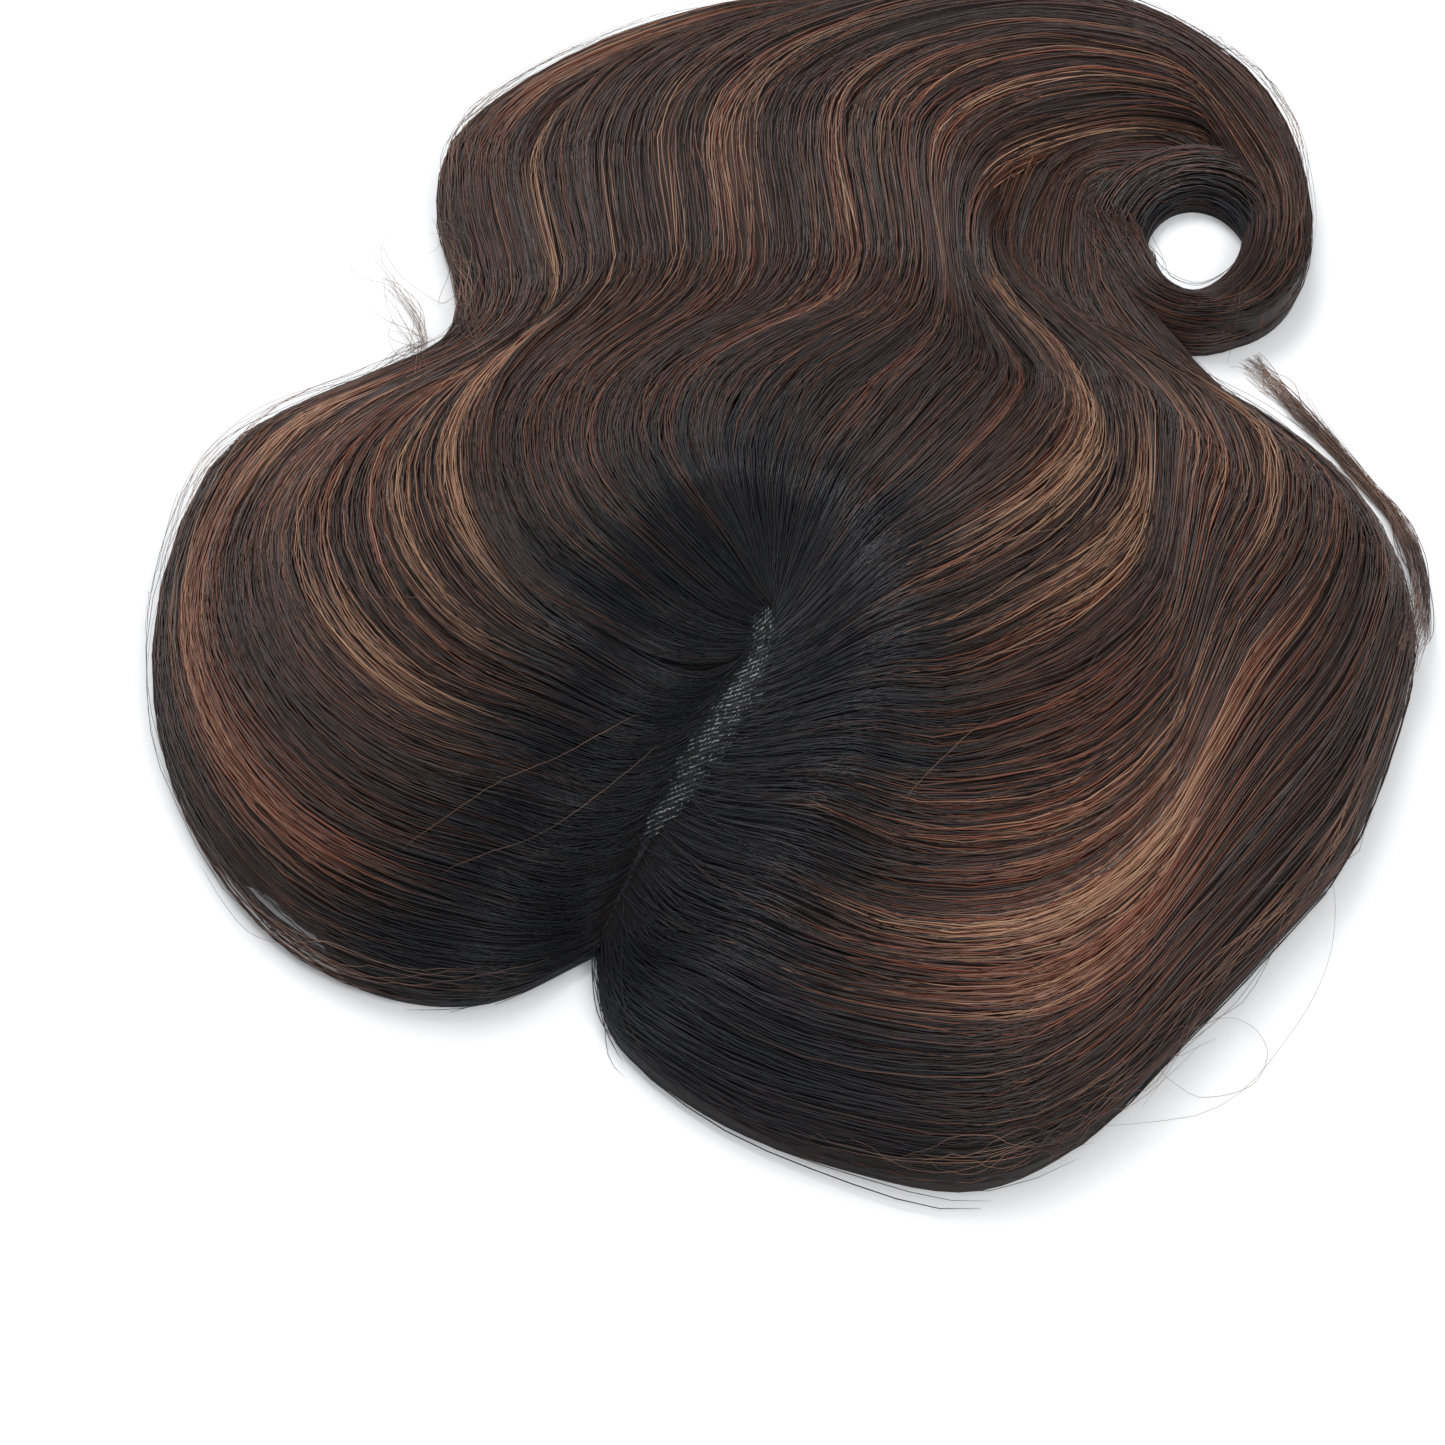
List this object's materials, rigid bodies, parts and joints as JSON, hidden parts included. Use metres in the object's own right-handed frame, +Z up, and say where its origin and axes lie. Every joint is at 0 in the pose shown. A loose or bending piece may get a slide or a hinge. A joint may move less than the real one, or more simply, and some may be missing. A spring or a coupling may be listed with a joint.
{
  "type": "hair topper",
  "caption": "Hair topper lying on a table: domed net base with a lace part line and clips, long wavy hair swept into one tail with an end curl.",
  "frame": {"origin": "on the table, under the middle of the spread hair", "axes": "+X to the curl's side, +Y from the part line's notch towards the end of the tail, +Z up from the table"},
  "size_m": [0.2586, 0.3202, 0.0428],
  "materials": {
    "hair": "glossy brown strands, near black at the roots, with caramel and copper highlights",
    "lace": "matt dark lace mesh with pale glints on its threads",
    "net": "matt black net with a bound rim",
    "clip": "satin black paint"
  },
  "bodies": {
    "root": {"base_cap": "net", "parting_lace": "lace", "clip_front": "clip", "clip_back": "clip", "clip_left": "clip", "clip_right": "clip", "hair_left": "hair", "hair_back": "hair", "hair_right": "hair", "side_wisp": "hair"}
  },
  "joints": []
}
